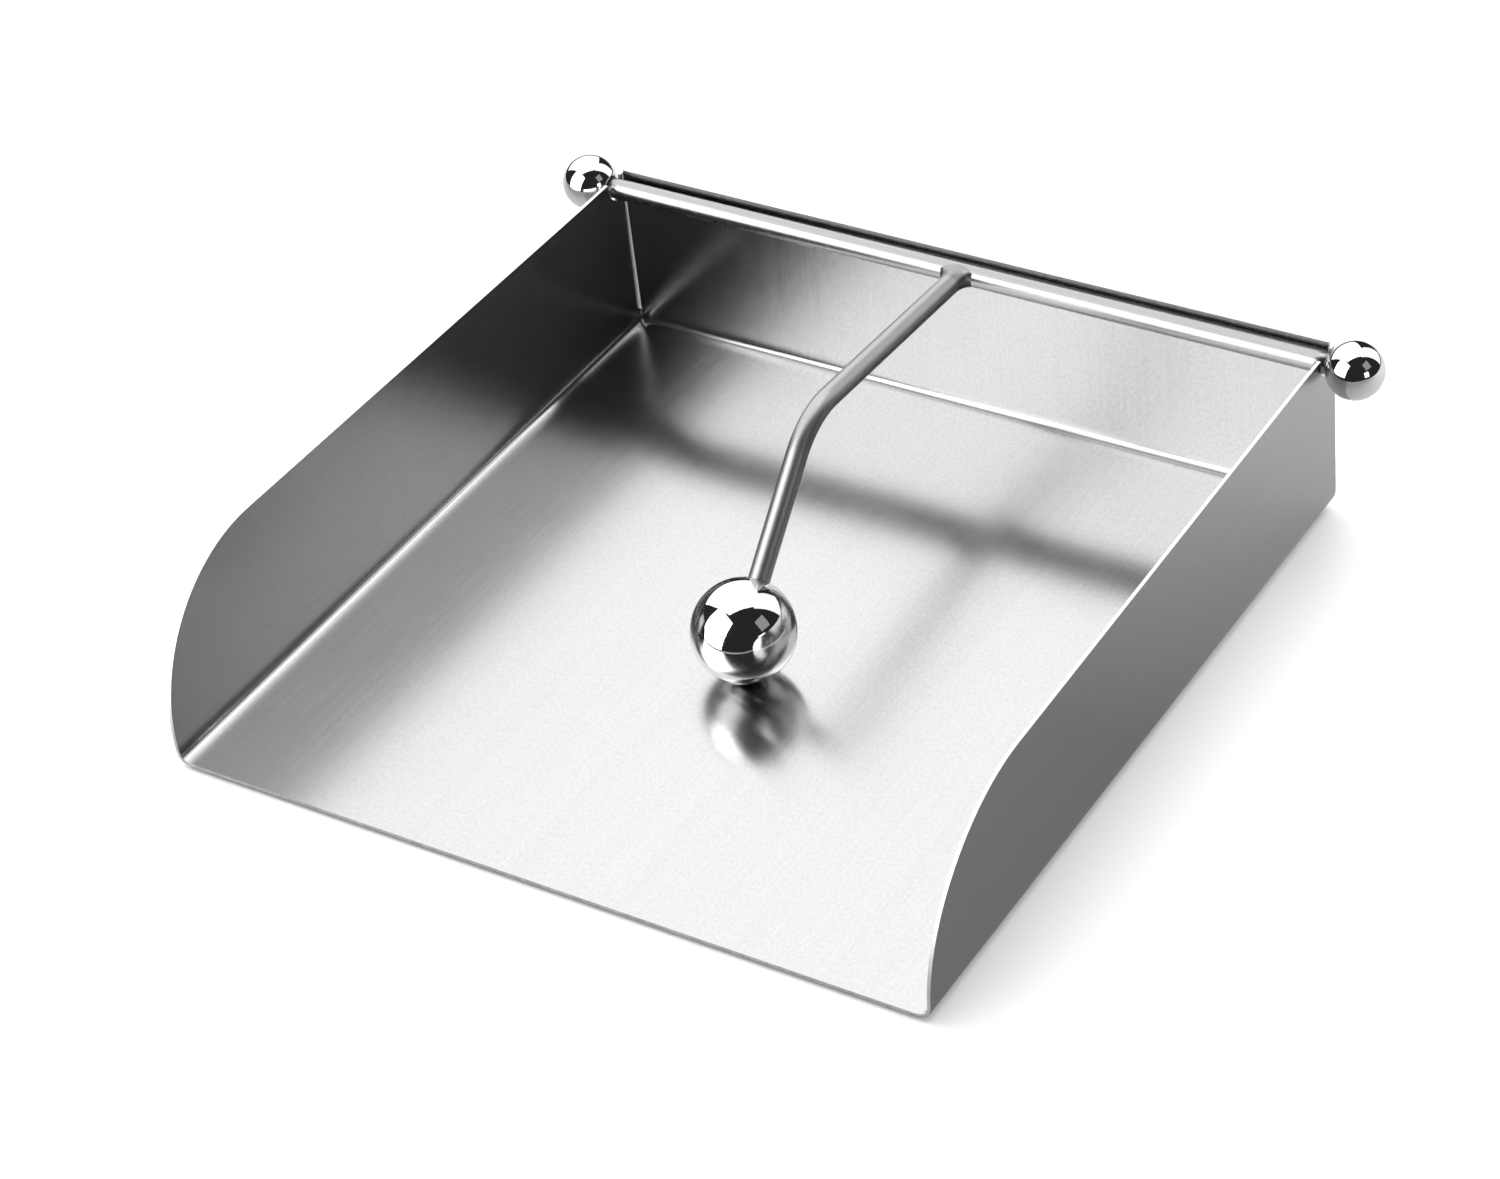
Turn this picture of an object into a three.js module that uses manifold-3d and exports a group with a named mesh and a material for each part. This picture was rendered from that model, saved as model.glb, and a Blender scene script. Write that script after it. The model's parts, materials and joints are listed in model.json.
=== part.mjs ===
// Flat napkin holder in stainless steel: a square tray folded from one sheet, open at the front,
// and a weighted arm that swings on a rod lying in notches at the rear of the side walls.
// Millimetres. X to the right, Y to the rear, Z up. The origin is the middle of the tray's underside.

import * as THREE from 'three';
import { mergeVertices } from 'three/addons/utils/BufferGeometryUtils.js';
import Module from 'manifold-3d';

// ---------- driving dimensions ----------

// tray, outside sizes
const TRAY_WIDTH = 190;
const TRAY_DEPTH = 190;
const SHEET = 0.8;
const BEND_RADIUS = 3;          // outside radius of all three bends
const SIDE_HEIGHT = 43.5;
const BACK_HEIGHT = 44.4;
const FRONT_SWEEP = 38.5;       // radius of the rounded front of each side wall
const FLARE = 2.17;             // how far each side wall's top leans out at its front end
const FLARE_STEPS = 10;
const FLARE_FREE = 19;          // the walls stay upright over this length at the rear
const BEND_SEGMENTS = 6;        // facets in a quarter turn of a bend
const SWEEP_SEGMENTS = 20;

// open corner between the back wall and each side wall
const SLIT_TOP = 0.3;
const SLIT_BOTTOM = 0.6;

// pivot rod and its notches
const ROD_DIAMETER = 5;
const ROD_Y = 90.6;
const ROD_X = 0.3;              // the rod lies a little to the right, one end ball against its wall
const ROD_Z = 41.3;
const FIT_GAP = 0.3;            // clearance between any two pieces that meet
const NOTCH_WIDTH = 5.6;

// end balls on the pivot rod
const END_BALL_DIAMETER = 13.5;
const END_BALL_REACH = 101.7;    // from the rod's middle to a ball's centre

// arm and weight
const WEIGHT_DIAMETER = 24;
const WEIGHT_X = 4.8;
const WEIGHT_Y = -16.5;
const ARM_ROOT_X = 2.2;
const ARM_RISE = 0.09;          // rise of the arm's upper stretch, per mm forwards
const ARM_BEND_Y = 18.8;        // where the two straight stretches would meet
const ARM_BEND_RADIUS = 20;

// threaded ends that screw into the balls
const SPIGOT_DIAMETER = 3.9;
const END_SPIGOT_LENGTH = 6;
const WEIGHT_SPIGOT_LENGTH = 9;
const HOLE_SPARE_DEPTH = 0.8;

// weld metal between pivot rod and arm, dressed flush above and below
const WELD_REACH = 6.2;         // from the rod's axis, along the arm
const WELD_FILLET = 3;          // how far it spreads along the rod, on each side of the arm

const ROUND_SEGMENTS = 32;

// ---------- derived ----------

const HALF_WIDTH = TRAY_WIDTH / 2;
const HALF_DEPTH = TRAY_DEPTH / 2;
const ROD_RADIUS = ROD_DIAMETER / 2;
const SPIGOT_RADIUS = SPIGOT_DIAMETER / 2;
const HOLE_RADIUS = SPIGOT_RADIUS + FIT_GAP;
const WEIGHT_RADIUS = WEIGHT_DIAMETER / 2;
const WEIGHT_Z = SHEET + FIT_GAP + WEIGHT_RADIUS;
const END_BALL_RADIUS = END_BALL_DIAMETER / 2;

// ---------- solids and booleans ----------

const wasm = await Module();
wasm.setup();

function solid(geometry) {
  const bare = geometry.index ? geometry.toNonIndexed() : geometry.clone();
  bare.deleteAttribute('normal');
  bare.deleteAttribute('uv');
  const merged = mergeVertices(bare, 1e-4);
  const mesh = new wasm.Mesh({
    numProp: 3,
    vertProperties: new Float32Array(merged.attributes.position.array),
    triVerts: new Uint32Array(merged.index.array),
  });
  return new wasm.Manifold(mesh);
}

function geometryOf(body) {
  const mesh = body.getMesh();
  const geometry = new THREE.BufferGeometry();
  geometry.setAttribute('position', new THREE.BufferAttribute(new Float32Array(mesh.vertProperties), 3));
  geometry.setIndex(new THREE.BufferAttribute(new Uint32Array(mesh.triVerts), 1));
  geometry.computeVertexNormals();
  return geometry;
}

// ---------- extrusions along the three axes ----------

// outline in (x, z), extruded over the given y range
function extrudeAlongY(shape, yFrom, yTo, steps = 1) {
  const settings = { depth: yTo - yFrom, steps, bevelEnabled: false, curveSegments: BEND_SEGMENTS };
  const geometry = new THREE.ExtrudeGeometry(shape, settings);
  geometry.rotateX(Math.PI / 2);
  geometry.translate(0, yTo, 0);
  return geometry;
}

// outline in (y, z), extruded over the given x range
function extrudeAlongX(shape, xFrom, xTo, curveSegments = BEND_SEGMENTS) {
  const settings = { depth: xTo - xFrom, bevelEnabled: false, curveSegments };
  const geometry = new THREE.ExtrudeGeometry(shape, settings);
  const turn = new THREE.Matrix4().makeBasis(
    new THREE.Vector3(0, 1, 0), new THREE.Vector3(0, 0, 1), new THREE.Vector3(1, 0, 0),
  );
  geometry.applyMatrix4(turn);
  geometry.translate(xFrom, 0, 0);
  return geometry;
}

// outline in (x, y), extruded over the given z range
function extrudeAlongZ(shape, zFrom, zTo) {
  const geometry = new THREE.ExtrudeGeometry(shape, { depth: zTo - zFrom, bevelEnabled: false });
  geometry.translate(0, 0, zFrom);
  return geometry;
}

function polygon(points) {
  return new THREE.Shape(points.map(([a, b]) => new THREE.Vector2(a, b)));
}

// ---------- tray ----------

// floor and both side walls, seen from the front
function troughOutline() {
  const turnX = HALF_WIDTH - BEND_RADIUS;
  const innerRadius = BEND_RADIUS - SHEET;
  const shape = new THREE.Shape();
  shape.moveTo(-HALF_WIDTH, SIDE_HEIGHT);
  shape.lineTo(-HALF_WIDTH, BEND_RADIUS);
  shape.absarc(-turnX, BEND_RADIUS, BEND_RADIUS, Math.PI, 1.5 * Math.PI, false);
  shape.lineTo(turnX, 0);
  shape.absarc(turnX, BEND_RADIUS, BEND_RADIUS, 1.5 * Math.PI, 2 * Math.PI, false);
  shape.lineTo(HALF_WIDTH, SIDE_HEIGHT);
  shape.lineTo(HALF_WIDTH - SHEET, SIDE_HEIGHT);
  shape.lineTo(HALF_WIDTH - SHEET, BEND_RADIUS);
  shape.absarc(turnX, BEND_RADIUS, innerRadius, 2 * Math.PI, 1.5 * Math.PI, true);
  shape.lineTo(-turnX, SHEET);
  shape.absarc(-turnX, BEND_RADIUS, innerRadius, 1.5 * Math.PI, Math.PI, true);
  shape.lineTo(-HALF_WIDTH + SHEET, SIDE_HEIGHT);
  return shape;
}

// back wall with its bend and a strip of floor, seen from the right side
function backOutline(floorStart) {
  const turnY = HALF_DEPTH - BEND_RADIUS;
  const shape = new THREE.Shape();
  shape.moveTo(floorStart, 0);
  shape.lineTo(turnY, 0);
  shape.absarc(turnY, BEND_RADIUS, BEND_RADIUS, 1.5 * Math.PI, 2 * Math.PI, false);
  shape.lineTo(HALF_DEPTH, BACK_HEIGHT);
  shape.lineTo(HALF_DEPTH - SHEET, BACK_HEIGHT);
  shape.lineTo(HALF_DEPTH - SHEET, BEND_RADIUS);
  shape.absarc(turnY, BEND_RADIUS, BEND_RADIUS - SHEET, 2 * Math.PI, 1.5 * Math.PI, true);
  shape.lineTo(floorStart, SHEET);
  return shape;
}

// the side walls lean out towards the front: upright at the rear, FLARE at the front's top
function flareWalls(geometry) {
  const position = geometry.attributes.position;
  for (let i = 0; i < position.count; i += 1) {
    const x = position.getX(i);
    const forward = (HALF_DEPTH - FLARE_FREE - position.getY(i)) / (TRAY_DEPTH - FLARE_FREE);
    const lean = FLARE * Math.max(0, forward) * (position.getZ(i) / SIDE_HEIGHT);
    const share = (Math.abs(x) - HALF_WIDTH + BEND_RADIUS) / (BEND_RADIUS - SHEET);
    position.setX(i, x + Math.sign(x) * lean * THREE.MathUtils.clamp(share, 0, 1));
  }
  return geometry;
}

// what the rounded front takes off both side walls
function sweepCutter() {
  const centreY = -HALF_DEPTH + FRONT_SWEEP;
  const centreZ = SIDE_HEIGHT - FRONT_SWEEP;
  const spare = 5;
  const shape = new THREE.Shape();
  shape.moveTo(centreY, SIDE_HEIGHT);
  shape.absarc(centreY, centreZ, FRONT_SWEEP, Math.PI / 2, Math.PI, false);
  shape.lineTo(-HALF_DEPTH - spare, centreZ);
  shape.lineTo(-HALF_DEPTH - spare, SIDE_HEIGHT + spare);
  shape.lineTo(centreY, SIDE_HEIGHT + spare);
  return extrudeAlongX(shape, -HALF_WIDTH - spare, HALF_WIDTH + spare, SWEEP_SEGMENTS);
}

// open-topped notch: straight sides, then a right-angled V that carries the rod
function notchCutter() {
  const half = NOTCH_WIDTH / 2;
  const bottomZ = ROD_Z - (ROD_RADIUS + FIT_GAP) * Math.SQRT2;
  const spare = 5;
  const shape = polygon([
    [ROD_Y, bottomZ],
    [ROD_Y + half, bottomZ + half],
    [ROD_Y + half, SIDE_HEIGHT + spare],
    [ROD_Y - half, SIDE_HEIGHT + spare],
    [ROD_Y - half, bottomZ + half],
  ]);
  const left = solid(extrudeAlongX(shape, -HALF_WIDTH - spare, -HALF_WIDTH + spare));
  const right = solid(extrudeAlongX(shape, HALF_WIDTH - spare, HALF_WIDTH + spare));
  return left.add(right);
}

// the rear corner is mitred below the bends' top; |x| < y belongs to the back bend
function mitreWedge(spare) {
  const inner = HALF_DEPTH - BEND_RADIUS - 2;
  const outer = HALF_DEPTH + 1;
  const shape = polygon([
    [-inner - spare, inner],
    [inner + spare, inner],
    [outer + spare, outer],
    [-outer - spare, outer],
  ]);
  return solid(extrudeAlongZ(shape, -1, BEND_RADIUS));
}

// outline that the back wall keeps above the bends, seen from the front
function backWallWindow() {
  const bottomX = HALF_WIDTH - SHEET - SLIT_BOTTOM;
  const topX = HALF_WIDTH - SHEET - SLIT_TOP;
  const overlap = 0.2;
  const shape = polygon([
    [-bottomX, BEND_RADIUS - overlap],
    [bottomX, BEND_RADIUS - overlap],
    [topX, BACK_HEIGHT + 1],
    [-topX, BACK_HEIGHT + 1],
  ]);
  return solid(extrudeAlongY(shape, 0, HALF_DEPTH + 1));
}

function trayGeometry() {
  const mitreOverlap = 0.12;
  const trough = solid(flareWalls(extrudeAlongY(troughOutline(), -HALF_DEPTH, HALF_DEPTH, FLARE_STEPS)));
  const sides = trough.subtract(solid(sweepCutter())).subtract(notchCutter()).subtract(mitreWedge(0));
  const backStart = HALF_DEPTH - BEND_RADIUS - 2;
  const backStrip = solid(extrudeAlongX(backOutline(backStart), -HALF_WIDTH, HALF_WIDTH));
  const back = backStrip.intersect(mitreWedge(mitreOverlap).add(backWallWindow()));
  return geometryOf(sides.add(back));
}

// ---------- pivot rod and balls ----------

// profile points are [radius, distance along the axis], from axis to axis
function turned(profile, segments = ROUND_SEGMENTS) {
  const points = profile.map(([radius, along]) => new THREE.Vector2(radius, along));
  return new THREE.LatheGeometry(points, segments);
}

function pivotRodGeometry() {
  const mouth = END_BALL_REACH - Math.sqrt(END_BALL_RADIUS ** 2 - ROD_RADIUS ** 2);
  const shoulder = mouth - FIT_GAP;
  const tip = shoulder + END_SPIGOT_LENGTH;
  const profile = [
    [0, -tip],
    [SPIGOT_RADIUS, -tip],
    [SPIGOT_RADIUS, -shoulder],
    [ROD_RADIUS, -shoulder],
    [ROD_RADIUS, shoulder],
    [SPIGOT_RADIUS, shoulder],
    [SPIGOT_RADIUS, tip],
    [0, tip],
  ];
  return turned(profile);
}

// ball with a blind hole that opens towards -Y of its own frame
function drilledBallGeometry(radius, spigotLength, segments) {
  const mouth = -Math.sqrt(radius ** 2 - HOLE_RADIUS ** 2);
  const shoulder = -Math.sqrt(radius ** 2 - ROD_RADIUS ** 2) - FIT_GAP;
  const holeEnd = shoulder + spigotLength + HOLE_SPARE_DEPTH;
  const startAngle = Math.asin(HOLE_RADIUS / radius);
  const rings = segments / 2;
  const profile = [[0, holeEnd], [HOLE_RADIUS, holeEnd], [HOLE_RADIUS, mouth]];
  for (let i = 1; i <= rings; i += 1) {
    const angle = startAngle + (Math.PI - startAngle) * (i / rings);
    const isPole = i === rings;
    profile.push([isPole ? 0 : radius * Math.sin(angle), -radius * Math.cos(angle)]);
  }
  return turned(profile, segments);
}

// ---------- arm ----------

// The arm's centre line: a straight upper stretch, one bend, and a straight stretch aimed at the
// weight's centre. It is drawn in (forward, up) from the rod's axis; x drifts evenly to the right.
class ArmLine extends THREE.Curve {
  constructor(startGap, endGap) {
    super();
    const root = new THREE.Vector2(0, ROD_Z);
    const weight = new THREE.Vector2(ROD_Y - WEIGHT_Y, WEIGHT_Z);
    const corner = new THREE.Vector2(ROD_Y - ARM_BEND_Y, ROD_Z + ARM_RISE * (ROD_Y - ARM_BEND_Y));
    this.weight = weight;
    this.upper = corner.clone().sub(root).normalize();
    this.lower = weight.clone().sub(corner).normalize();
    this.turn = Math.acos(this.upper.dot(this.lower));
    const tangent = ARM_BEND_RADIUS * Math.tan(this.turn / 2);
    this.start = root.clone().addScaledVector(this.upper, startGap);
    this.bendStart = corner.clone().addScaledVector(this.upper, -tangent);
    this.bendEnd = corner.clone().addScaledVector(this.lower, tangent);
    this.end = weight.clone().addScaledVector(this.lower, -endGap);
    this.bendCentre = this.bendStart.clone().add(
      new THREE.Vector2(this.upper.y, -this.upper.x).multiplyScalar(ARM_BEND_RADIUS),
    );
    this.upperLength = this.start.distanceTo(this.bendStart);
    this.bendLength = ARM_BEND_RADIUS * this.turn;
    this.lowerLength = this.bendEnd.distanceTo(this.end);
  }

  place(flat) {
    const share = flat.x / this.weight.x;
    const x = ARM_ROOT_X + (WEIGHT_X - ARM_ROOT_X) * share;
    return new THREE.Vector3(x, ROD_Y - flat.x, flat.y);
  }

  getPoint(t, target = new THREE.Vector3()) {
    const along = t * (this.upperLength + this.bendLength + this.lowerLength);
    if (along < this.upperLength) {
      return target.copy(this.place(this.start.clone().addScaledVector(this.upper, along)));
    }
    if (along < this.upperLength + this.bendLength) {
      const angle = (along - this.upperLength) / ARM_BEND_RADIUS;
      const spoke = this.bendStart.clone().sub(this.bendCentre);
      spoke.rotateAround(new THREE.Vector2(), -angle);
      return target.copy(this.place(this.bendCentre.clone().add(spoke)));
    }
    const rest = along - this.upperLength - this.bendLength;
    return target.copy(this.place(this.bendEnd.clone().addScaledVector(this.lower, rest)));
  }
}

function sweptRod(line, radius, steps) {
  const section = new THREE.Shape();
  section.absarc(0, 0, radius, 0, 2 * Math.PI, false);
  const settings = { steps, curveSegments: ROUND_SEGMENTS, bevelEnabled: false, extrudePath: line };
  return new THREE.ExtrudeGeometry(section, settings);
}

// cylinder from one point to another
function bar(from, to, radius) {
  const axis = to.clone().sub(from);
  const geometry = new THREE.CylinderGeometry(radius, radius, axis.length(), ROUND_SEGMENTS);
  aimAt(geometry, axis);
  const middle = from.clone().add(to).multiplyScalar(0.5);
  geometry.translate(middle.x, middle.y, middle.z);
  return geometry;
}

// turns a geometry whose own axis is +Y so that the axis points along a direction
function aimAt(geometry, direction) {
  const up = new THREE.Vector3(0, 1, 0);
  geometry.applyQuaternion(new THREE.Quaternion().setFromUnitVectors(up, direction.clone().normalize()));
  return geometry;
}

function armGeometry() {
  const steps = 36;
  const shoulderGap = Math.sqrt(WEIGHT_RADIUS ** 2 - ROD_RADIUS ** 2) + FIT_GAP;
  const line = new ArmLine(WELD_REACH + FIT_GAP, shoulderGap);
  const end = line.getPoint(1);
  const direction = end.clone().sub(line.getPoint(0.99)).normalize();
  const rod = solid(sweptRod(line, ROD_RADIUS, steps));
  const inside = end.clone().addScaledVector(direction, -1);
  const tip = end.clone().addScaledVector(direction, WEIGHT_SPIGOT_LENGTH);
  const spigot = solid(bar(inside, tip, SPIGOT_RADIUS));
  return geometryOf(rod.add(spigot));
}

// A neck as thick as the arm that widens sideways, in a hollow curve, where it meets the pivot rod.
function weldGeometry() {
  const line = new ArmLine(0, WEIGHT_RADIUS);
  const root = line.getPoint(0);
  const direction = line.getPoint(0.05).sub(root).normalize();
  const lengthSteps = 12;
  const neck = new THREE.CylinderGeometry(ROD_RADIUS, ROD_RADIUS, WELD_REACH, ROUND_SEGMENTS, lengthSteps);
  neck.translate(0, WELD_REACH / 2, 0);
  const position = neck.attributes.position;
  for (let i = 0; i < position.count; i += 1) {
    const clear = (position.getY(i) - ROD_RADIUS) / (WELD_REACH - ROD_RADIUS);
    const away = THREE.MathUtils.clamp(1 - clear, 0, 1);
    const spread = WELD_FILLET * (1 - Math.sqrt(1 - away ** 2));
    position.setX(i, position.getX(i) * (1 + spread / ROD_RADIUS));
  }
  const across = new THREE.Vector3(1, 0, 0).addScaledVector(direction, -direction.x).normalize();
  const normal = across.clone().cross(direction);
  neck.applyMatrix4(new THREE.Matrix4().makeBasis(across, direction, normal));
  neck.translate(root.x, root.y, root.z);
  const reach = 20;
  const from = new THREE.Vector3(ARM_ROOT_X - reach, ROD_Y, ROD_Z);
  const to = new THREE.Vector3(ARM_ROOT_X + reach, ROD_Y, ROD_Z);
  const rodRoom = solid(bar(from, to, ROD_RADIUS + FIT_GAP));
  return geometryOf(solid(neck).subtract(rodRoom));
}

// ---------- assembly ----------

const brushedSteel = { color: 0xc4c6c8, roughness: 0.36, metalness: 1 };
const satinSteel = { color: 0xcdcfd1, roughness: 0.22, metalness: 1 };
const polishedSteel = { color: 0xe2e4e6, roughness: 0.04, metalness: 1 };

function piece(name, geometry, look) {
  const mesh = new THREE.Mesh(geometry, new THREE.MeshStandardMaterial(look));
  mesh.name = name;
  return mesh;
}

function endBall(name, side) {
  const geometry = drilledBallGeometry(END_BALL_RADIUS, END_SPIGOT_LENGTH, ROUND_SEGMENTS);
  const mesh = piece(name, geometry, polishedSteel);
  mesh.position.set(side * END_BALL_REACH, 0, 0);
  mesh.rotation.z = -side * Math.PI / 2;
  return mesh;
}

function weightBall() {
  const line = new ArmLine(0, WEIGHT_RADIUS);
  const direction = line.getPoint(1).sub(line.getPoint(0.98));
  const geometry = drilledBallGeometry(WEIGHT_RADIUS, WEIGHT_SPIGOT_LENGTH, ROUND_SEGMENTS + 8);
  const mesh = piece('weight_ball', aimAt(geometry, direction), polishedSteel);
  mesh.position.set(WEIGHT_X, WEIGHT_Y, WEIGHT_Z);
  return mesh;
}

const pivotRod = piece('pivot_rod', pivotRodGeometry(), satinSteel);
pivotRod.rotation.z = -Math.PI / 2;

const pivotGroup = new THREE.Group();
pivotGroup.position.set(ROD_X, ROD_Y, ROD_Z);
pivotGroup.add(pivotRod, endBall('end_ball_left', -1), endBall('end_ball_right', 1));

const holder = new THREE.Group();
holder.add(piece('tray_sheet', trayGeometry(), brushedSteel));
holder.add(pivotGroup);
holder.add(piece('arm_rod', armGeometry(), satinSteel));
holder.add(piece('arm_weld', weldGeometry(), satinSteel));
holder.add(weightBall());

export default holder;
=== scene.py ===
"""Flat napkin holder in stainless steel: a folded tray and a weighted arm on a loose rod.

Everything is in metres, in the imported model's own frame: X to the right, Y to the rear, Z up.
"""

import json
import math

import bmesh
import bpy
from mathutils import Matrix, Vector


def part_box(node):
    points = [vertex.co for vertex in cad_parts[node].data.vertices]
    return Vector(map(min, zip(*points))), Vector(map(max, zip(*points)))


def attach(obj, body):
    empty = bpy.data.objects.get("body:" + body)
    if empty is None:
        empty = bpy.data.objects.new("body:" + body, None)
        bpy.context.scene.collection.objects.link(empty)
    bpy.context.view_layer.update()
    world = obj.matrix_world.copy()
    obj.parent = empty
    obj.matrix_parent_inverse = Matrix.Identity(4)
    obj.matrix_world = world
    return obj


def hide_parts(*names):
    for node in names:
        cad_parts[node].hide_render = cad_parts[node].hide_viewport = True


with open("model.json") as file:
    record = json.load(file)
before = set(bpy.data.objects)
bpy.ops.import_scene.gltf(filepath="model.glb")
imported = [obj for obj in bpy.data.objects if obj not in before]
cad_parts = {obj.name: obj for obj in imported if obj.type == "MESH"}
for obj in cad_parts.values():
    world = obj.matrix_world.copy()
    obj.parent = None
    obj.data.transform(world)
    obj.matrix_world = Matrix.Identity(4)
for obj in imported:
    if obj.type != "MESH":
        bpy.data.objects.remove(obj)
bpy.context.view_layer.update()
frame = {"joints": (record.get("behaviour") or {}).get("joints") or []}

MM = 0.001

# ---------- sizes ----------

# the folded sheet; its overall size comes from the frame
SHEET = 0.8 * MM
BEND_RADIUS = 3.0 * MM  # the walls' lean fades in across it
SIDE_HEIGHT = 43.5 * MM
FRONT_SWEEP = 38.5 * MM
FLARE = 2.17 * MM
FLARE_FREE = 19 * MM
SLIT_TOP = 0.3 * MM
SLIT_BOTTOM = 0.6 * MM
EDGE_BREAK = 0.16 * MM

# a bend's outer face: the floor lifts a little, turns tightly, then eases into the wall
LIFT_LENGTH = 3.4 * MM
LIFT_TILT = math.radians(22)
LIFT_POWER = 1.6
TIGHT_RADIUS = 2.4 * MM
WALL_TILT = math.radians(80)
EASE_LENGTH = 1.6 * MM

# the back bend's mitred ends part from the side bends above this height
MITRE_OPENS = 1.2 * MM
MITRE_GAP = 0.6 * MM

# rods
ROD_RADIUS = 2.5 * MM
NOTCH_CLEARANCE = 0.3 * MM
ARM_RISE = 0.09
ARM_BEND_Y = 18.8 * MM
ARM_BEND_RADIUS = 20 * MM
ARM_ROOT_X = 2.2 * MM
WELD_REACH = 6.2 * MM
WELD_FILLET = 3 * MM
WELD_START = 0.4 * MM
WELD_FULL_WIDTH_TO = 0.8 * ROD_RADIUS
WELD_OVERLAP = 0.2 * MM
ROD_INSIDE_BALL = 2.2 * MM
ROD_END_CLOSES_TO = 0.02 * MM

# the weight's place, apart from its height
WEIGHT_X = 4.8 * MM
WEIGHT_Y = -16.5 * MM

# where the rods enter the balls
HOLE_CLEARANCE = 0.06 * MM
HOLE_LIP = 0.12 * MM
HOLE_DEPTH = 1.2 * MM

# how finely the meshes are cut
MERGE_DISTANCE = 1e-7
COLUMN_INSET = 1.7 * MM
FLOOR_COLUMNS = 18
LIFT_STEPS = 12
TIGHT_STEPS = 12
EASE_STEPS = 5
SWEEP_STEPS = 30
STRAIGHT_STEPS = 14
WALL_STEPS = 10
BACK_STEPS = 12
ROD_SIDES = 64
BALL_SIDES = 96
BALL_STEPS = 56

# ---------- places, from the frame ----------


def middle(node):
    low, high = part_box(node)
    return (low + high) / 2


def half_size(node):
    low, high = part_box(node)
    return (high - low) / 2


TRAY_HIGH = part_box("tray_sheet")[1]
HALF_DEPTH = TRAY_HIGH.y
HALF_WIDTH = HALF_DEPTH
BACK_HEIGHT = TRAY_HIGH.z
HINGE = Vector(frame["joints"][0]["pos_m"])
ROD_MIDDLE = Vector((middle("pivot_rod").x, HINGE.y, HINGE.z))
WEIGHT_RADIUS = half_size("weight_ball").z
WEIGHT_CENTRE = Vector((WEIGHT_X, WEIGHT_Y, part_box("weight_ball")[0].z + WEIGHT_RADIUS))
END_BALL_RADIUS = half_size("end_ball_left").z
END_BALL_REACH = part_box("end_ball_right")[1].x - END_BALL_RADIUS - ROD_MIDDLE.x

# ---------- mesh helpers ----------


def new_object(name, mesh_maker):
    """An object in the scene from a bmesh that mesh_maker fills."""
    mesh = bpy.data.meshes.new(name)
    builder = bmesh.new()
    mesh_maker(builder)
    bmesh.ops.remove_doubles(builder, verts=builder.verts, dist=MERGE_DISTANCE)
    for face in builder.faces:
        face.smooth = True
    builder.to_mesh(mesh)
    builder.free()
    made = bpy.data.objects.new(name, mesh)
    bpy.context.scene.collection.objects.link(made)
    return made


def fill_grid(builder, points, flat=None):
    """Quads between rows of points; flat is each point's place on the unrolled surface, as UVs."""
    layer = builder.loops.layers.uv.verify()
    vertices = [[builder.verts.new(p) for p in row] for row in points]
    for i in range(len(points) - 1):
        for j in range(len(points[i]) - 1):
            corners = [(i, j), (i, j + 1), (i + 1, j + 1), (i + 1, j)]
            kept = []
            for a, b in corners:
                if all((points[a][b] - points[c][d]).length > 1e-8 for c, d in kept):
                    kept.append((a, b))
            if len(kept) < 3:
                continue
            face = builder.faces.new([vertices[a][b] for a, b in kept])
            if flat:
                for loop, (a, b) in zip(face.loops, kept):
                    loop[layer].uv = flat[a][b]


def steps(start, end, count):
    """count + 1 evenly spaced values, both ends included."""
    return [start + (end - start) * i / count for i in range(count + 1)]


def middles(start, end, count):
    """The middles of count equal parts."""
    half = (end - start) / count / 2
    return steps(start + half, end - half, count - 1)


def add_modifier(obj, kind, **settings):
    modifier = obj.modifiers.new(kind.title(), kind)
    for key, value in settings.items():
        setattr(modifier, key, value)


# ---------- tray ----------


def bend_profile():
    """(out, up, along) down a bend's outer face, from the floor's end to upright at the wall."""
    lift = [LIFT_TILT * share ** LIFT_POWER for share in middles(0, 1, LIFT_STEPS)]
    tight = middles(LIFT_TILT, WALL_TILT, TIGHT_STEPS)
    ease = middles(WALL_TILT, math.pi / 2, EASE_STEPS)
    tight_length = TIGHT_RADIUS * (WALL_TILT - LIFT_TILT)
    tilts = [(LIFT_LENGTH / LIFT_STEPS, tilt) for tilt in lift]
    tilts += [(tight_length / TIGHT_STEPS, tilt) for tilt in tight]
    tilts += [(EASE_LENGTH / EASE_STEPS, tilt) for tilt in ease]
    out, up, along = 0.0, 0.0, 0.0
    points = [(out, up, along)]
    for length, tilt in tilts:
        out += length * math.cos(tilt)
        up += length * math.sin(tilt)
        along += length
        points.append((out, up, along))
    start = HALF_WIDTH - out
    return [(start + out, up, along) for out, up, along in points]


BEND = bend_profile()
TURN = BEND[0][0]
BEND_TOP, BEND_LENGTH = BEND[-1][1:]
NOTCH_HALF = ROD_RADIUS + NOTCH_CLEARANCE
NOTCH_BOTTOM = HINGE.z - NOTCH_HALF * math.sqrt(2)
NOTCH_SHOULDER = NOTCH_BOTTOM + NOTCH_HALF
NOTCH_FRONT = HINGE.y - NOTCH_HALF
NOTCH_REAR = HINGE.y + NOTCH_HALF


def flare(point):
    """Moves a point outwards, because the side walls lean out towards the front."""
    forward = (HALF_DEPTH - FLARE_FREE - point.y) / (2 * HALF_DEPTH - FLARE_FREE)
    lean = FLARE * max(0.0, forward) * point.z / SIDE_HEIGHT
    share = (abs(point.x) - HALF_WIDTH + BEND_RADIUS) / (BEND_RADIUS - SHEET)
    point.x += math.copysign(lean * min(1.0, max(0.0, share)), point.x)
    return point


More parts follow.
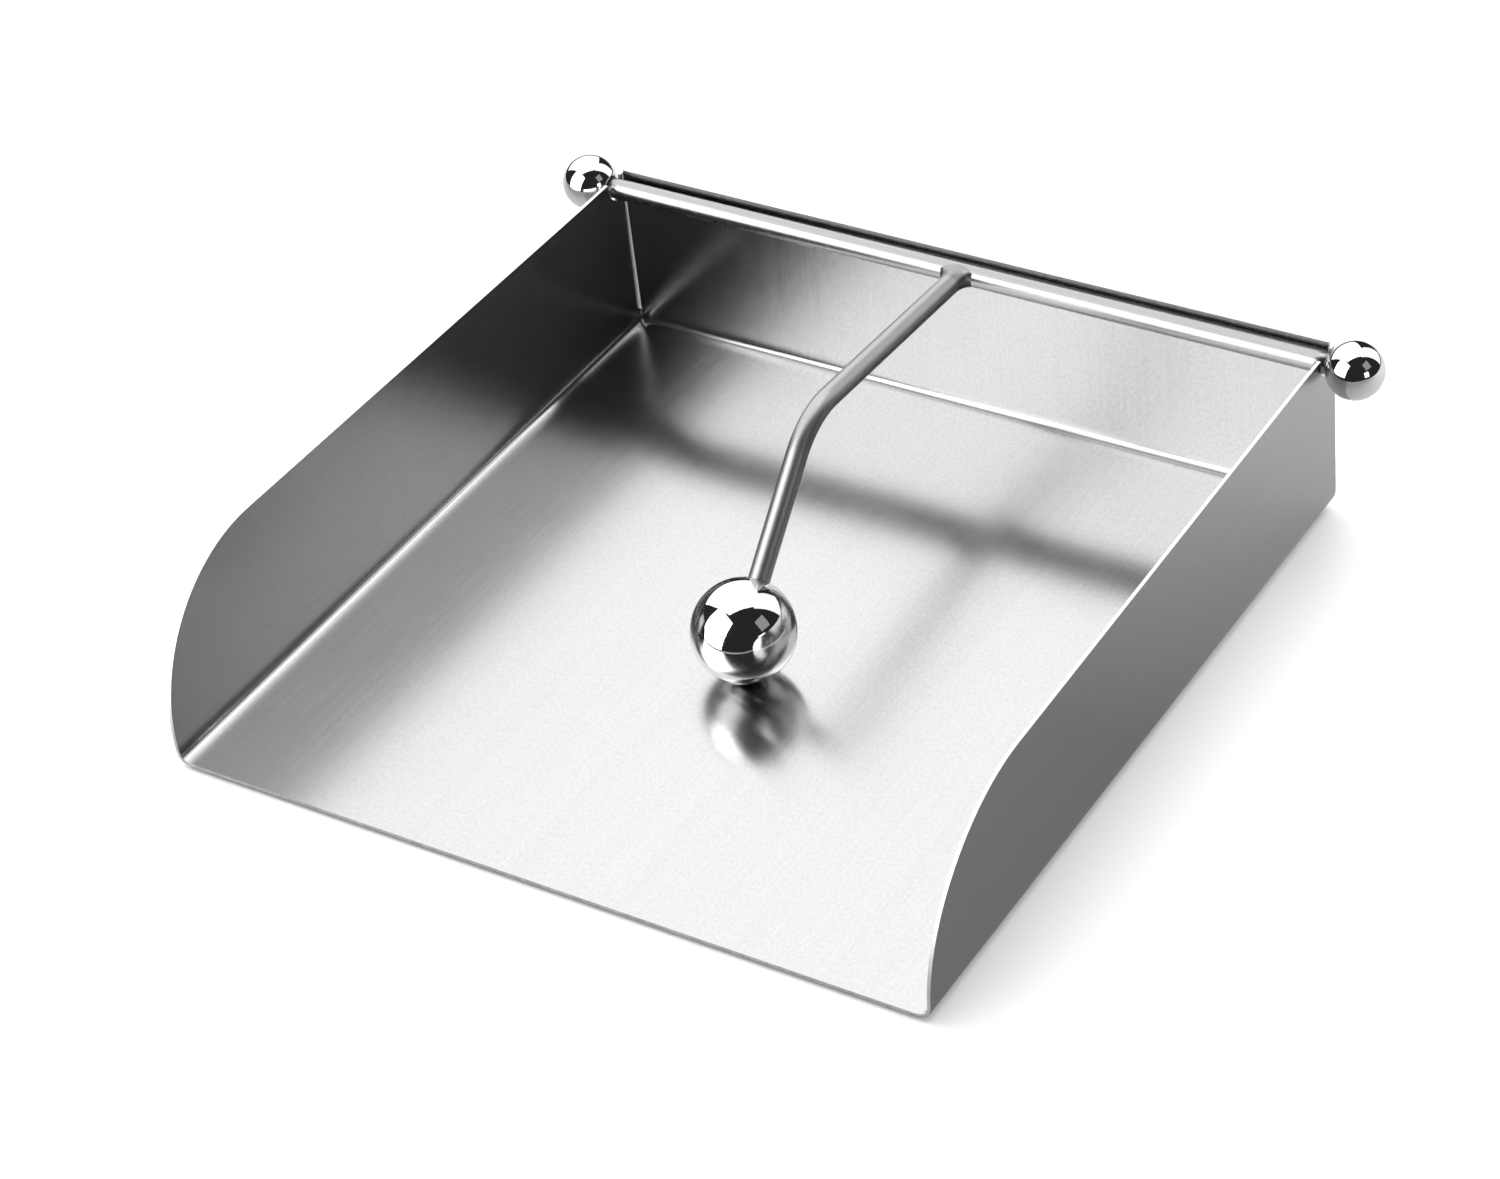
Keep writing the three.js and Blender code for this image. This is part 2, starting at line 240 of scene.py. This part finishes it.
def depth_stations():
    """Y of the grid's columns in front of the notch, close together in the rounded front."""
    sweep = [
        -HALF_DEPTH + FRONT_SWEEP * (1 - math.cos(a))
        for a in steps(0, math.pi / 2, SWEEP_STEPS)
    ]
    straight = steps(-HALF_DEPTH + FRONT_SWEEP, NOTCH_FRONT, STRAIGHT_STEPS)
    return sweep + straight[1:]


def rear_stations(rear_end):
    """Y of the columns behind the notch's front side, squeezed to end at rear_end."""
    squeeze = (rear_end - NOTCH_FRONT) / (HALF_DEPTH - NOTCH_FRONT)
    return [NOTCH_FRONT + squeeze * (y - NOTCH_FRONT) for y in (HINGE.y, NOTCH_REAR, HALF_DEPTH)]


def inner_columns():
    """X of the floor's columns, less the two at its ends."""
    inner = TURN - COLUMN_INSET
    return steps(-inner, inner, FLOOR_COLUMNS)


def wall_top(y):
    """Height of a side wall's top edge, rounded at the front."""
    centre_y = -HALF_DEPTH + FRONT_SWEEP
    if y >= centre_y:
        return SIDE_HEIGHT
    rise = math.sqrt(max(0.0, FRONT_SWEEP ** 2 - (y - centre_y) ** 2))
    return SIDE_HEIGHT - FRONT_SWEEP + rise


def add_floor(builder):
    ys = depth_stations() + rear_stations(TURN)
    xs = [-TURN] + inner_columns() + [TURN]
    points = [[Vector((x, y, 0)) for x in reversed(xs)] for y in ys]
    flat = [[(x, y) for x in reversed(xs)] for y in ys]
    fill_grid(builder, points, flat)


def add_side_bend(builder, side):
    rows, flat = [], []
    for out, up, along in BEND:
        ys = depth_stations() + rear_stations(out)
        rows.append([flare(Vector((side * out, y, up))) for y in ys])
        flat.append([(side * (TURN + along), y) for y in ys])
    fill_grid(builder, rows[::side], flat[::side])


def add_side_wall(builder, side):
    """A grid of columns up to the wall's outline, less the notch that carries the rod."""
    ys = depth_stations() + rear_stations(HALF_DEPTH)
    low = steps(BEND_TOP, NOTCH_BOTTOM, WALL_STEPS)
    heights = low + [NOTCH_SHOULDER, SIDE_HEIGHT]
    shares = [(z - BEND_TOP) / (SIDE_HEIGHT - BEND_TOP) for z in heights]
    first = len(depth_stations()) - 1

    def place(column, row):
        y = ys[column]
        z = BEND_TOP + shares[row] * (wall_top(y) - BEND_TOP)
        return flare(Vector((side * HALF_WIDTH, y, z)))

    def flat_place(column, row):
        z = place(column, row).z
        return (side * (TURN + BEND_LENGTH + z - BEND_TOP), ys[column])

    def add_face(cells):
        ordered = cells if side > 0 else cells[::-1]
        layer = builder.loops.layers.uv.verify()
        face = builder.faces.new([builder.verts.new(place(*cell)) for cell in ordered])
        for loop, cell in zip(face.loops, ordered):
            loop[layer].uv = flat_place(*cell)

    top = len(heights) - 1
    for column in range(len(ys) - 1):
        in_notch = first <= column <= first + 1
        for row in range(top):
            low_left, low_right = (column, row), (column + 1, row)
            high_left, high_right = (column, row + 1), (column + 1, row + 1)
            if in_notch and row == top - 1:
                continue
            if in_notch and row == top - 2:
                corner = high_left if column == first else high_right
                add_face([low_left, low_right, corner])
            else:
                add_face([low_left, low_right, high_right, high_left])


def add_back(builder):
    """The back bend, mitred at its ends, and the back wall with a slit at each side."""
    inner = inner_columns()
    slit_low = HALF_WIDTH - SHEET - SLIT_BOTTOM
    slit_high = HALF_WIDTH - SHEET - SLIT_TOP
    rows, flat = [], []

    def add_row(columns, y, z, along):
        rows.append([Vector((x, y, z)) for x in reversed(columns)])
        flat.append([(x, TURN + along) for x in reversed(columns)])

    for out, up, along in BEND:
        opened = MITRE_GAP * max(0.0, up - MITRE_OPENS) / (BEND_TOP - MITRE_OPENS)
        end = out - opened
        shoulder = TURN + (slit_low - TURN) * (out - TURN) / (HALF_WIDTH - TURN)
        near_end = min(shoulder, end)
        columns = [-end, -near_end] + inner + [near_end, end]
        add_row(columns, out, up, along)
    fill_grid(builder, rows, flat)

    rows.clear()
    flat.clear()
    for z in steps(BEND_TOP, BACK_HEIGHT, BACK_STEPS):
        share = (z - BEND_TOP) / (BACK_HEIGHT - BEND_TOP)
        edge = slit_low + (slit_high - slit_low) * share
        add_row([-edge] + inner + [edge], HALF_DEPTH, z, BEND_LENGTH + z - BEND_TOP)
    fill_grid(builder, rows, flat)


def make_tray():
    def build(builder):
        add_floor(builder)
        for side in (-1, 1):
            add_side_bend(builder, side)
            add_side_wall(builder, side)
        add_back(builder)

    tray = new_object("folded_tray", build)
    tray.data.materials.append(brushed_sheet())
    # the rim faces get the cut edge's material, with its painted highlight
    tray.data.materials.append(cut_edge_with_painted_highlight())
    add_modifier(tray, "SOLIDIFY", thickness=SHEET, offset=-1.0, use_even_offset=True,
                 material_offset_rim=1)
    add_modifier(tray, "BEVEL", width=EDGE_BREAK, segments=2, limit_method="ANGLE",
                 angle_limit=math.radians(50), use_clamp_overlap=True)
    add_modifier(tray, "WEIGHTED_NORMAL", mode="FACE_AREA", weight=50, keep_sharp=True)
    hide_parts("tray_sheet")
    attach(tray, "tray")


# ---------- rods ----------


def sweep_tube(builder, stations):
    """Rings of points; a station is centre, across, up, half width, half height, distance along."""
    rows, flat = [], []
    for centre, across, up, wide, high, along in stations:
        ring, ring_flat = [], []
        for k in range(ROD_SIDES + 1):
            angle = 2 * math.pi * (k % ROD_SIDES) / ROD_SIDES
            ring.append(centre + across * (wide * math.cos(angle)) + up * (high * math.sin(angle)))
            ring_flat.append((k / ROD_SIDES * 2 * math.pi * ROD_RADIUS, along))
        rows.append(ring)
        flat.append(ring_flat)
    fill_grid(builder, rows, flat)


def make_pivot_rod():
    def build(builder):
        end = END_BALL_REACH - END_BALL_RADIUS + ROD_INSIDE_BALL

        def station(x, radius):
            centre = ROD_MIDDLE + Vector((x, 0, 0))
            return (centre, Vector((0, 1, 0)), Vector((0, 0, 1)), radius, radius, x)

        stations = [station(x, ROD_RADIUS) for x in steps(-end, end, 40)]
        stations.insert(0, station(-end, ROD_END_CLOSES_TO))
        stations.append(station(end, ROD_END_CLOSES_TO))
        sweep_tube(builder, stations)

    rod = new_object("pivot_rod_bar", build)
    rod.data.materials.append(satin_rod("pivot_rod_steel", tone=0.33, rough=0.25))
    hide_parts("pivot_rod")
    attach(rod, "weighted_arm")


class ArmPath:
    """The arm's centre line: straight, one bend, straight into the weight's centre."""

    def __init__(self):
        reach = HINGE.y - WEIGHT_CENTRE.y
        corner_forward = HINGE.y - ARM_BEND_Y
        root = Vector((0, HINGE.z))
        corner = Vector((corner_forward, HINGE.z + ARM_RISE * corner_forward))
        weight = Vector((reach, WEIGHT_CENTRE.z))
        self.reach = reach
        self.upper = (corner - root).normalized()
        self.lower = (weight - corner).normalized()
        self.turn = math.acos(self.upper.dot(self.lower))
        tangent = ARM_BEND_RADIUS * math.tan(self.turn / 2)
        self.root = root
        self.bend_start = corner - self.upper * tangent
        self.bend_end = corner + self.lower * tangent
        self.centre = self.bend_start + Vector((self.upper.y, -self.upper.x)) * ARM_BEND_RADIUS
        self.weight = weight

    def place(self, flat):
        x = ARM_ROOT_X + (WEIGHT_CENTRE.x - ARM_ROOT_X) * flat.x / self.reach
        return Vector((x, HINGE.y - flat.x, flat.y))

    def points(self, start, end_gap):
        """The centre line, from start along it to end_gap before the weight's centre."""
        upper_length = (self.bend_start - self.root).length
        lower_length = (self.weight - self.bend_end).length - end_gap
        line = [self.root + self.upper * s for s in steps(start, upper_length, 10)]
        for angle in steps(0, self.turn, 24)[1:]:
            spoke = self.bend_start - self.centre
            turned = Vector((
                spoke.x * math.cos(angle) + spoke.y * math.sin(angle),
                -spoke.x * math.sin(angle) + spoke.y * math.cos(angle),
            ))
            line.append(self.centre + turned)
        line += [self.bend_end + self.lower * s for s in steps(0, lower_length, 10)[1:]]
        return [self.place(p) for p in line]


def level_frame(forward):
    """(across, up) of a tube that runs forward: across stays as near to X as it can."""
    across = (Vector((1, 0, 0)) - forward * forward.x).normalized()
    return across, across.cross(forward)


def tube_stations(line, radius):
    stations, along = [], 0.0
    for i, centre in enumerate(line):
        before = line[max(0, i - 1)]
        after = line[min(len(line) - 1, i + 1)]
        across, up = level_frame((after - before).normalized())
        along += (centre - before).length
        stations.append((centre, across, up, radius, radius, along))
    return stations


def make_arm():
    path = ArmPath()

    def build(builder):
        line = path.points(WELD_REACH - WELD_OVERLAP, WEIGHT_RADIUS - ROD_INSIDE_BALL)
        sweep_tube(builder, tube_stations(line, ROD_RADIUS))

    arm = new_object("arm_bar", build)
    arm.data.materials.append(satin_rod("arm_steel", tone=0.36, rough=0.37))
    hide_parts("arm_rod")
    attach(arm, "weighted_arm")


def make_weld():
    """A neck as thick as the arm that widens sideways, in a hollow curve, onto the pivot rod."""
    path = ArmPath()

    def build(builder):
        root, ahead = path.place(path.root), path.place(path.root + path.upper * WELD_REACH)
        forward = (ahead - root).normalized()
        across, up = level_frame(forward)
        stations = []
        for along in steps(WELD_START, WELD_REACH, 24):
            clear = (along - WELD_FULL_WIDTH_TO) / (WELD_REACH - WELD_FULL_WIDTH_TO)
            away = min(1.0, max(0.0, 1 - clear))
            wide = ROD_RADIUS + WELD_FILLET * (1 - math.sqrt(1 - away ** 2))
            stations.append((root + forward * along, across, up, wide, ROD_RADIUS, along))
        sweep_tube(builder, stations)

    weld = new_object("arm_weld_neck", build)
    weld.data.materials.append(satin_rod("weld_steel", tone=0.27, rough=0.3, ripple=0.7))
    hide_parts("arm_weld")
    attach(weld, "weighted_arm")


# ---------- balls ----------


def make_ball(name, node, centre, radius, hole_direction, steel):
    """A turned ball with a shallow round recess, its lip broken, where the rod goes in."""
    hole = ROD_RADIUS + HOLE_CLEARANCE
    lip_angle = math.asin((hole + HOLE_LIP) / radius)
    mouth = radius * math.cos(lip_angle)
    profile = [(0.0, mouth - HOLE_DEPTH), (hole, mouth - HOLE_DEPTH), (hole, mouth - HOLE_LIP)]
    for angle in steps(lip_angle, math.pi, BALL_STEPS):
        profile.append((radius * math.sin(angle), radius * math.cos(angle)))
    profile[-1] = (0.0, -radius)
    turn = Vector((0, 0, 1)).rotation_difference(hole_direction).to_matrix()

    def build(builder):
        rows = []
        for distance, height in profile:
            ring = []
            for k in range(BALL_SIDES + 1):
                angle = 2 * math.pi * (k % BALL_SIDES) / BALL_SIDES
                spot = Vector((distance * math.cos(angle), distance * math.sin(angle), height))
                ring.append(centre + turn @ spot)
            rows.append(ring)
        fill_grid(builder, rows)
        bmesh.ops.recalc_face_normals(builder, faces=builder.faces)

    ball = new_object(name, build)
    ball.data.materials.append(steel)
    add_modifier(ball, "WEIGHTED_NORMAL", mode="FACE_AREA", weight=50, keep_sharp=True)
    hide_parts(node)
    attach(ball, "weighted_arm")


def make_balls():
    steel = polished_ball()
    path = ArmPath()
    into_arm = (path.place(path.bend_end) - WEIGHT_CENTRE).normalized()
    make_ball("weight", "weight_ball", WEIGHT_CENTRE, WEIGHT_RADIUS, into_arm, steel)
    for side, node in ((-1, "end_ball_left"), (1, "end_ball_right")):
        centre = ROD_MIDDLE + Vector((side * END_BALL_REACH, 0, 0))
        into_rod = Vector((-side, 0, 0))
        make_ball(node.replace("_ball", "_knob"), node, centre, END_BALL_RADIUS, into_rod, steel)


# ---------- materials ----------


class Nodes:
    """Short names for building one material's nodes."""

    def __init__(self, name):
        self.material = bpy.data.materials.new(name)
        self.material.use_nodes = True
        self.tree = self.material.node_tree
        self.shader = self.tree.nodes["Principled BSDF"]

    def add(self, kind, **settings):
        node = self.tree.nodes.new(kind)
        for key, value in settings.items():
            setattr(node, key, value)
        return node

    def link(self, source, target):
        self.tree.links.new(source, target)

    def set(self, **values):
        for key, value in values.items():
            self.shader.inputs[key.replace("_", " ")].default_value = value

    def stretched_noise(self, vector, scale, detail=2.0, roughness=0.5):
        """Noise on coordinates in metres, with its own scale per metre along each of them."""
        mapping = self.add("ShaderNodeMapping")
        mapping.inputs["Scale"].default_value = scale
        self.link(vector, mapping.inputs["Vector"])
        noise = self.add("ShaderNodeTexNoise")
        noise.inputs["Scale"].default_value = 1.0
        noise.inputs["Detail"].default_value = detail
        noise.inputs["Roughness"].default_value = roughness
        self.link(mapping.outputs["Vector"], noise.inputs["Vector"])
        return noise.outputs["Fac"]

    def span(self, value, low, high, from_low=0.25, from_high=0.75):
        """value taken from one range to another, clamped."""
        remap = self.add("ShaderNodeMapRange")
        remap.inputs["From Min"].default_value = from_low
        remap.inputs["From Max"].default_value = from_high
        remap.inputs["To Min"].default_value = low
        remap.inputs["To Max"].default_value = high
        self.link(value, remap.inputs["Value"])
        return remap.outputs["Result"]

    def add_up(self, *values):
        total = values[0]
        for value in values[1:]:
            plus = self.add("ShaderNodeMath", operation="ADD")
            self.link(total, plus.inputs[0])
            self.link(value, plus.inputs[1])
            total = plus.outputs[0]
        return total

    def grey(self, value):
        combine = self.add("ShaderNodeCombineColor")
        for channel in ("Red", "Green", "Blue"):
            self.link(value, combine.inputs[channel])
        return combine.outputs["Color"]

    def bump(self, height, strength, distance, base=None):
        bump = self.add("ShaderNodeBump")
        bump.inputs["Strength"].default_value = strength
        bump.inputs["Distance"].default_value = distance
        self.link(height, bump.inputs["Height"])
        if base:
            self.link(base, bump.inputs["Normal"])
        return bump.outputs["Normal"]


def brushed_sheet():
    """Steel brushed along V of the unrolled surface, with sandy grain and handling marks."""
    tone, rough, grain, smear = 0.47, 0.19, 0.012, 0.01
    n = Nodes("brushed_sheet_steel")
    n.set(Metallic=1.0, Anisotropic=0.84)
    flat = n.add("ShaderNodeUVMap").outputs["UV"]
    fine = n.stretched_noise(flat, (3200, 40, 1), detail=3.0, roughness=0.6)
    medium = n.stretched_noise(flat, (1300, 10, 1), detail=2.0)
    broad = n.stretched_noise(flat, (240, 5, 1), detail=2.0)
    place = n.add("ShaderNodeTexCoord").outputs["Object"]
    marks = n.stretched_noise(place, (38, 38, 38), detail=4.0, roughness=0.6)
    sand = n.stretched_noise(flat, (1500, 900, 1), detail=3.0, roughness=0.75)
    shade = n.add_up(
        n.span(fine, tone - grain, tone + grain),
        n.span(medium, -grain * 0.6, grain * 0.6),
        n.span(broad, -grain * 0.5, grain * 0.5),
        n.span(sand, -grain * 3.5, grain * 3.5),
    )
    n.link(n.grey(shade), n.shader.inputs["Base Color"])
    gloss = n.add_up(
        n.span(fine, rough - 0.012, rough + 0.012),
        n.span(medium, -0.008, 0.008),
        n.span(marks, -smear, smear, 0.35, 0.65),
    )
    n.link(gloss, n.shader.inputs["Roughness"])
    lines = n.bump(sand, 0.1, 0.002 * MM)
    waves = n.bump(marks, 0.03, 0.05 * MM, lines)
    n.link(waves, n.shader.inputs["Normal"])
    tangent = n.add("ShaderNodeTangent", direction_type="UV_MAP")
    n.link(tangent.outputs["Tangent"], n.shader.inputs["Tangent"])
    return n.material


def cut_edge_with_painted_highlight():
    """The sheet's sheared and dressed edge: brighter than its faces, a tone that paints the thin
    highlight along the edges, and more matt.
    """
    n = Nodes("cut_edge_steel")
    n.set(Metallic=1.0)
    place = n.add("ShaderNodeTexCoord").outputs["Object"]
    wear = n.stretched_noise(place, (900, 900, 300), detail=3.0)
    # painted highlight: base colour 0.68 to 0.8, far above the faces' 0.47, makes the bright line
    # along the sheet's edges
    n.link(n.grey(n.span(wear, 0.68, 0.8)), n.shader.inputs["Base Color"])
    n.link(n.span(wear, 0.44, 0.58), n.shader.inputs["Roughness"])
    n.link(n.bump(wear, 0.2, 0.01 * MM), n.shader.inputs["Normal"])
    return n.material


def satin_rod(name, tone, rough, ripple=0.0):
    """Drawn rod, polished to a satin along its length; ripple adds a dressed weld's unevenness."""
    n = Nodes(name)
    n.set(Metallic=1.0, Anisotropic=0.3)
    flat = n.add("ShaderNodeUVMap").outputs["UV"]
    fine = n.stretched_noise(flat, (7000, 70, 1), detail=3.0, roughness=0.6)
    broad = n.stretched_noise(flat, (900, 20, 1), detail=2.0)
    place = n.add("ShaderNodeTexCoord").outputs["Object"]
    lumps = n.stretched_noise(place, (420, 420, 420), detail=2.0)
    shade = n.add_up(n.span(fine, tone - 0.025, tone + 0.025), n.span(broad, -0.015, 0.015))
    n.link(n.grey(shade), n.shader.inputs["Base Color"])
    gloss = n.add_up(
        n.span(fine, rough - 0.03, rough + 0.03),
        n.span(lumps, 0.0, 0.02 + 0.1 * ripple),
    )
    n.link(gloss, n.shader.inputs["Roughness"])
    lines = n.bump(fine, 0.15, 0.002 * MM)
    n.link(n.bump(lumps, 0.03 + ripple, 0.06 * MM, lines), n.shader.inputs["Normal"])
    tangent = n.add("ShaderNodeTangent", direction_type="UV_MAP")
    n.link(tangent.outputs["Tangent"], n.shader.inputs["Tangent"])
    return n.material


def polished_ball():
    """Mirror polish with hairline scratches, faint smudges and slight waviness."""
    n = Nodes("mirror_ball_steel")
    n.set(Metallic=1.0)
    place = n.add("ShaderNodeTexCoord").outputs["Object"]
    smudge = n.stretched_noise(place, (160, 160, 160), detail=3.0)
    hairs = n.stretched_noise(place, (9000, 9000, 700), detail=1.0)
    waves = n.stretched_noise(place, (520, 520, 520), detail=4.0, roughness=0.6)
    n.link(n.grey(n.span(smudge, 0.8, 0.86)), n.shader.inputs["Base Color"])
    gloss = n.add_up(n.span(smudge, 0.03, 0.06), n.span(hairs, 0.0, 0.02, 0.5, 0.8))
    n.link(gloss, n.shader.inputs["Roughness"])
    n.link(n.bump(waves, 0.16, 0.05 * MM), n.shader.inputs["Normal"])
    return n.material


# ---------- stage, light and camera ----------

# the photographer's own axes on the ground: to their right, and away from them
CAMERA_AZIMUTH = math.radians(35.403)
CAMERA_ELEVATION = math.radians(37.187)
CAMERA_ROLL = math.radians(-6.788)
CAMERA_DISTANCE = 916.8 * MM
CAMERA_TARGET = Vector((-5.9, 2.8, 7.6)) * MM
CAMERA_LENS = 97.93

FLOOR_HALF_WIDTH = 0.45
FLOOR_DROP = 0.8 * MM

SIDEWAYS = Vector((math.cos(CAMERA_AZIMUTH), math.sin(CAMERA_AZIMUTH), 0))
AWAY = Vector((-math.sin(CAMERA_AZIMUTH), math.cos(CAMERA_AZIMUTH), 0))
UP = Vector((0, 0, 1))


def studio(sideways, away, up):
    """A place given along the photographer's axes."""
    return SIDEWAYS * sideways + AWAY * away + UP * up


def floor_sheet(name, height, front, near, far):
    """Matt paper from front, its near edge's Y; its albedo goes from near to far, and a darker near
    end is painted shade.
    """
    xs = steps(-FLOOR_HALF_WIDTH, FLOOR_HALF_WIDTH, 4)
    ys = steps(front, FLOOR_HALF_WIDTH, 4)

    def build(builder):
        fill_grid(builder, [[Vector((x, y, height)) for x in xs] for y in ys])

    floor = new_object(name, build)
    n = Nodes(name + "_paper")
    n.set(Roughness=0.9, Specular_IOR_Level=0.0)
    place = n.add("ShaderNodeSeparateXYZ")
    n.link(n.add("ShaderNodeTexCoord").outputs["Object"], place.inputs["Vector"])
    # albedo graded along Y: a darker near end paints shade on the floor
    n.link(n.grey(n.span(place.outputs["Y"], near, far, 0.0, 0.17)), n.shader.inputs["Base Color"])
    floor.data.materials.append(n.material)
    floor.visible_shadow = False
    return floor


def make_floor():
    """White paper to look at, and a greyer sheet just under it for the steel to reflect; the grey
    sheet's tone, lowest in front and beside the tray, is painted shade on the floor that the steel
    reflects.
    """
    white = floor_sheet("studio_floor", -FLOOR_DROP, -FLOOR_HALF_WIDTH, 0.85, 0.85)
    white.visible_glossy = False
    # painted shade: tone 0.28 in front and beside the tray, rising to 0.68 behind it, so the steel
    # reflects a floor shaded near the tray
    grey = floor_sheet("shaded_floor_for_reflections", -FLOOR_DROP - 0.02 * MM, -0.14, 0.28, 0.68)
    grey.visible_camera = False
    grey.visible_diffuse = False


def softbox(name, centre, width, height, radiance, aim=Vector((0, 0, 0.02))):
    """A rectangular area light that faces the object, with its width level."""
    lamp = bpy.data.lights.new(name, "AREA")
    lamp.shape = "RECTANGLE"
    lamp.size = width
    lamp.size_y = height
    lamp.energy = radiance * width * height * math.pi
    holder = bpy.data.objects.new(name, lamp)
    holder.location = centre
    holder.rotation_euler = (aim - centre).to_track_quat("-Z", "Y").to_euler()
    holder.visible_camera = False
    bpy.context.scene.collection.objects.link(holder)
    return holder


def make_lights():
    """Panels at a place, with width, height and radiance."""
    softbox("overhead_left", studio(-0.15, 0.584, 0.79), 1.4, 1.95, 1.92)
    softbox("overhead_right", studio(1.0, 0.53, 0.78), 0.9, 1.9, 1.2)
    window = softbox("left_window", studio(-1.0, -0.33, 0.5), 1.15, 1.5, 3.8)
    window.visible_diffuse = False
    softbox("right_window", studio(0.82, -1.02, 0.25), 0.38, 0.4, 1.9)
    softbox("right_card", studio(0.9, -0.65, 0.83), 0.58, 0.6, 0.3)
    make_world(pale=1.02, reflected=0.022)


def make_world(pale, reflected):
    """A pale room that lights the paper, with dark walls where the steel reflects it."""
    world = bpy.data.worlds.new("pale_room")
    world.use_nodes = True
    nodes, links = world.node_tree.nodes, world.node_tree.links
    rays = nodes.new("ShaderNodeLightPath")
    strength = nodes.new("ShaderNodeMapRange")
    strength.inputs["To Min"].default_value = pale
    strength.inputs["To Max"].default_value = reflected
    links.new(rays.outputs["Is Glossy Ray"], strength.inputs["Value"])
    links.new(strength.outputs["Result"], nodes["Background"].inputs["Strength"])
    nodes["Background"].inputs["Color"].default_value = (1, 1, 1, 1)
    bpy.context.scene.world = world


def make_camera():
    forward = Vector((
        -math.sin(CAMERA_AZIMUTH) * math.cos(CAMERA_ELEVATION),
        math.cos(CAMERA_AZIMUTH) * math.cos(CAMERA_ELEVATION),
        -math.sin(CAMERA_ELEVATION),
    ))
    level_up = SIDEWAYS.cross(forward)
    right = SIDEWAYS * math.cos(CAMERA_ROLL) + level_up * math.sin(CAMERA_ROLL)
    up = right.cross(forward)
    turn = Matrix((right, up, -forward)).transposed().to_4x4()
    lens = bpy.data.cameras.new("camera")
    lens.sensor_width = 36.0
    lens.lens = CAMERA_LENS
    lens.clip_start = 0.01
    lens.clip_end = 20.0
    camera = bpy.data.objects.new("camera", lens)
    camera.matrix_world = Matrix.Translation(CAMERA_TARGET - forward * CAMERA_DISTANCE) @ turn
    bpy.context.scene.collection.objects.link(camera)
    bpy.context.scene.camera = camera


make_tray()
make_pivot_rod()
make_arm()
make_weld()
make_balls()
make_floor()
make_lights()
make_camera()
bpy.context.scene.view_settings.view_transform = "Standard"
